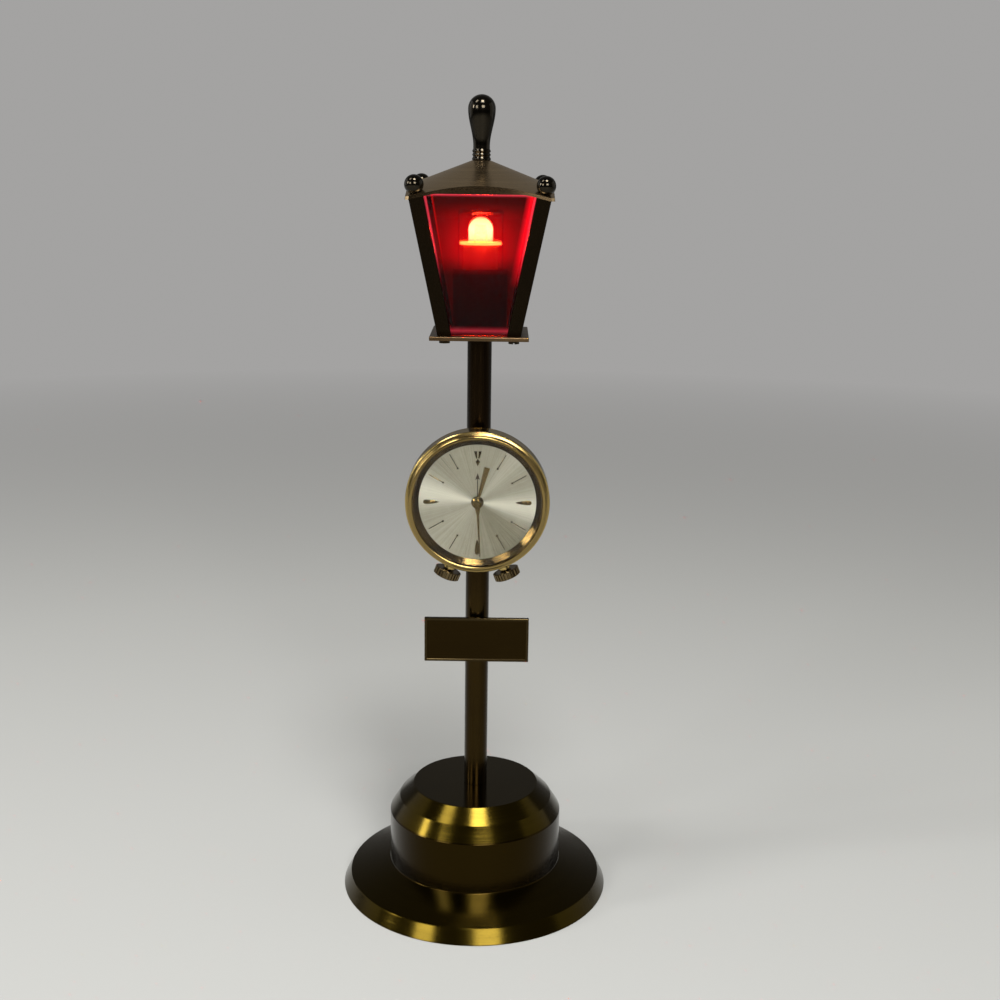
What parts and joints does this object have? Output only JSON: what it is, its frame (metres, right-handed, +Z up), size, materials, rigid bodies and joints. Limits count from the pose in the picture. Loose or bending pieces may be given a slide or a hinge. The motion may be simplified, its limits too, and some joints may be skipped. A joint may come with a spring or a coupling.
{
  "type": "lamppost clock lamp",
  "caption": "Battery table lamp shaped like a lamppost, with a red-paned lantern, a wind-up alarm clock on the post and a round hat-shaped base.",
  "frame": {"origin": "centre of the round base, on the surface that it stands on", "axes": "+Z up along the post, the dial faces -Y, +X to the right of someone who looks at the dial"},
  "size_m": [0.091, 0.091, 0.265],
  "materials": {
    "base_brass": "aged, lacquered, fine turning lines",
    "post_brass": "aged, lacquered",
    "lantern_brass": "aged, satin",
    "roof_brass": "satin, spun",
    "ball_brass": "polished, aged",
    "sign_brass": "aged, satin",
    "screw_brass": "plain",
    "case_gold": "polished, gilt",
    "crown_gold": "knurled, gilt",
    "dial_silver": "sunburst brushed",
    "marker_gold": "faceted, polished",
    "hand_gold": "polished",
    "alarm_brown": "dark",
    "movement_brass": "grained",
    "movement_steel": "grained",
    "crystal_clear": "polished acrylic",
    "lamp_clear": "clear",
    "bulb_clear": "clear, lit",
    "filament_glow": "glowing wire",
    "pane_red": "red acrylic",
    "socket_black": "moulded",
    "contact_brass": "plain",
    "rod_brass": "threaded",
    "plate_steel": "zinc plated",
    "felt_green": "felt",
    "bracket_brown": "pressed fibre",
    "cell_grey": "plain metal jacket",
    "switch_black": "moulded",
    "switch_steel": "bright",
    "wire_red": "insulation",
    "wire_black": "insulation"
  },
  "bodies": {
    "stand": {"base_shell": "base_brass", "base_plate": "plate_steel", "base_screws": "plate_steel", "felt_ring": "felt_green", "battery_bracket": "bracket_brown", "battery_cell": "cell_grey", "battery_contacts": "contact_brass", "switch_body": "switch_black", "switch_nut": "switch_steel", "rod_nut": "rod_brass", "battery_wire": "wire_red", "lamp_wire": "wire_black", "post_tube": "post_brass", "tie_rod": "rod_brass", "sign_plate": "sign_brass", "sign_clip": "sign_brass", "lantern_floor": "lantern_brass", "corner_posts": "lantern_brass", "side_panes": "pane_red", "corner_screws": "screw_brass", "ball_nuts": "ball_brass", "roof": "roof_brass", "top_finial": "ball_brass", "finial_screw": "plate_steel", "lamp_socket": "socket_black", "socket_contacts": "contact_brass", "bulb_cap": "contact_brass", "bulb_glass": "bulb_clear", "bulb_filament": "filament_glow", "lamp_glass": "lamp_clear", "case_band": "case_gold", "bezel": "case_gold", "crystal": "crystal_clear", "dial": "dial_silver", "hour_markers": "marker_gold", "case_back": "case_gold", "clock_saddle": "sign_brass", "front_plate": "movement_brass", "back_plate": "movement_brass"},
    "minute": {"cannon_pinion": "movement_brass", "minute_hand": "hand_gold"},
    "minute_wheel": {"minute_wheel": "movement_brass"},
    "hour": {"hour_wheel": "movement_brass", "hour_hand": "hand_gold"},
    "alarm_hand": {"alarm_hand": "alarm_brown"},
    "centre_wheel": {"centre_wheel": "movement_brass"},
    "mainspring_barrel": {"mainspring_barrel": "movement_brass"},
    "third_wheel": {"third_wheel": "movement_brass"},
    "fourth_wheel": {"fourth_wheel": "movement_brass"},
    "escape_wheel": {"escape_wheel": "movement_brass"},
    "pallet_lever": {"pallet_lever": "movement_steel"},
    "balance_wheel": {"balance_wheel": "movement_brass"},
    "alarm_barrel": {"alarm_barrel": "movement_brass"},
    "alarm_hammer": {"alarm_hammer": "movement_steel"},
    "wind_pinion": {"wind_pinion": "movement_steel"},
    "wind_crown": {"wind_crown": "crown_gold"},
    "alarm_pinion": {"alarm_pinion": "movement_steel"},
    "alarm_crown": {"alarm_crown": "crown_gold"},
    "switch_lever": {"switch_lever": "switch_steel"},
    "battery_lid": {"battery_lid": "plate_steel"}
  },
  "joints": [
    {"name": "minute_turn", "type": "hinge", "parent": "stand", "child": "minute", "pos_m": [0, -0.009, 0.1391], "axis": [0, 1, 0], "continuous": true},
    {"name": "minute_wheel_turn", "type": "hinge", "parent": "stand", "child": "minute_wheel", "pos_m": [-0.00564, -0.009, 0.13705], "axis": [0, 1, 0], "continuous": true},
    {"name": "hour_turn", "type": "hinge", "parent": "stand", "child": "hour", "pos_m": [0, -0.009, 0.1391], "axis": [0, 1, 0], "continuous": true},
    {"name": "alarm_set", "type": "hinge", "parent": "stand", "child": "alarm_hand", "pos_m": [0, -0.009, 0.1391], "axis": [0, 1, 0], "continuous": true},
    {"name": "fourth_turn", "type": "hinge", "parent": "stand", "child": "fourth_wheel", "pos_m": [0.00891, -0.009, 0.13706], "axis": [0, 1, 0], "continuous": true},
    {"name": "third_turn", "type": "hinge", "parent": "stand", "child": "third_wheel", "pos_m": [0.00639, -0.009, 0.14143], "axis": [0, 1, 0], "continuous": true},
    {"name": "centre_turn", "type": "hinge", "parent": "stand", "child": "centre_wheel", "pos_m": [0, -0.009, 0.1391], "axis": [0, 1, 0], "continuous": true},
    {"name": "barrel_turn", "type": "hinge", "parent": "stand", "child": "mainspring_barrel", "pos_m": [-0.00651, -0.009, 0.14147], "axis": [0, 1, 0], "continuous": true},
    {"name": "escape_turn", "type": "hinge", "parent": "stand", "child": "escape_wheel", "pos_m": [0.00585, -0.009, 0.13341], "axis": [0, 1, 0], "continuous": true},
    {"name": "lever_rock", "type": "hinge", "parent": "stand", "child": "pallet_lever", "pos_m": [0.00161, -0.009, 0.13096], "axis": [0, 1, 0], "range_deg": [-5, 5]},
    {"name": "balance_swing", "type": "hinge", "parent": "stand", "child": "balance_wheel", "pos_m": [-0.0022, -0.009, 0.12876], "axis": [0, 1, 0], "range_deg": [-120, 120], "stiffness_Nm_per_rad": 0.00001},
    {"name": "alarm_barrel_turn", "type": "hinge", "parent": "stand", "child": "alarm_barrel", "pos_m": [0.0034, -0.009, 0.1487], "axis": [0, 1, 0], "continuous": true},
    {"name": "hammer_strike", "type": "hinge", "parent": "stand", "child": "alarm_hammer", "pos_m": [-0.0104, -0.009, 0.1325], "axis": [0, 1, 0], "range_deg": [0, 10], "stiffness_Nm_per_rad": 0.0001, "springref_deg": -5.73},
    {"name": "wind_turn", "type": "hinge", "parent": "stand", "child": "wind_pinion", "pos_m": [0, -0.0106, 0.1391], "axis": [-0.3665, 0, -0.9304], "continuous": true},
    {"name": "wind_pull", "type": "slide", "parent": "wind_pinion", "child": "wind_crown", "axis": [-0.3665, 0, -0.9304], "range_m": [0, 0.0012]},
    {"name": "alarm_turn", "type": "hinge", "parent": "stand", "child": "alarm_pinion", "pos_m": [0, -0.0106, 0.1391], "axis": [0.3665, 0, -0.9304], "continuous": true},
    {"name": "alarm_pull", "type": "slide", "parent": "alarm_pinion", "child": "alarm_crown", "axis": [0.3665, 0, -0.9304], "range_m": [0, 0.0012]},
    {"name": "switch_tip", "type": "hinge", "parent": "stand", "child": "switch_lever", "pos_m": [0, 0.0304, 0.018], "axis": [1, 0, 0], "range_deg": [-24, 0]},
    {"name": "lid_turn", "type": "hinge", "parent": "stand", "child": "battery_lid", "pos_m": [0, 0, 0], "axis": [0, 0, 1], "range_deg": [0, 40]}
  ],
  "couplings": [
    {"joint": "minute_wheel_turn", "follows": "minute_turn", "ratio": -0.33333},
    {"joint": "hour_turn", "follows": "minute_turn", "ratio": 0.083333},
    {"joint": "third_turn", "follows": "fourth_turn", "ratio": -0.125},
    {"joint": "centre_turn", "follows": "fourth_turn", "ratio": 0.016667},
    {"joint": "barrel_turn", "follows": "fourth_turn", "ratio": -0.0027778},
    {"joint": "escape_turn", "follows": "fourth_turn", "ratio": -7.5}
  ]
}
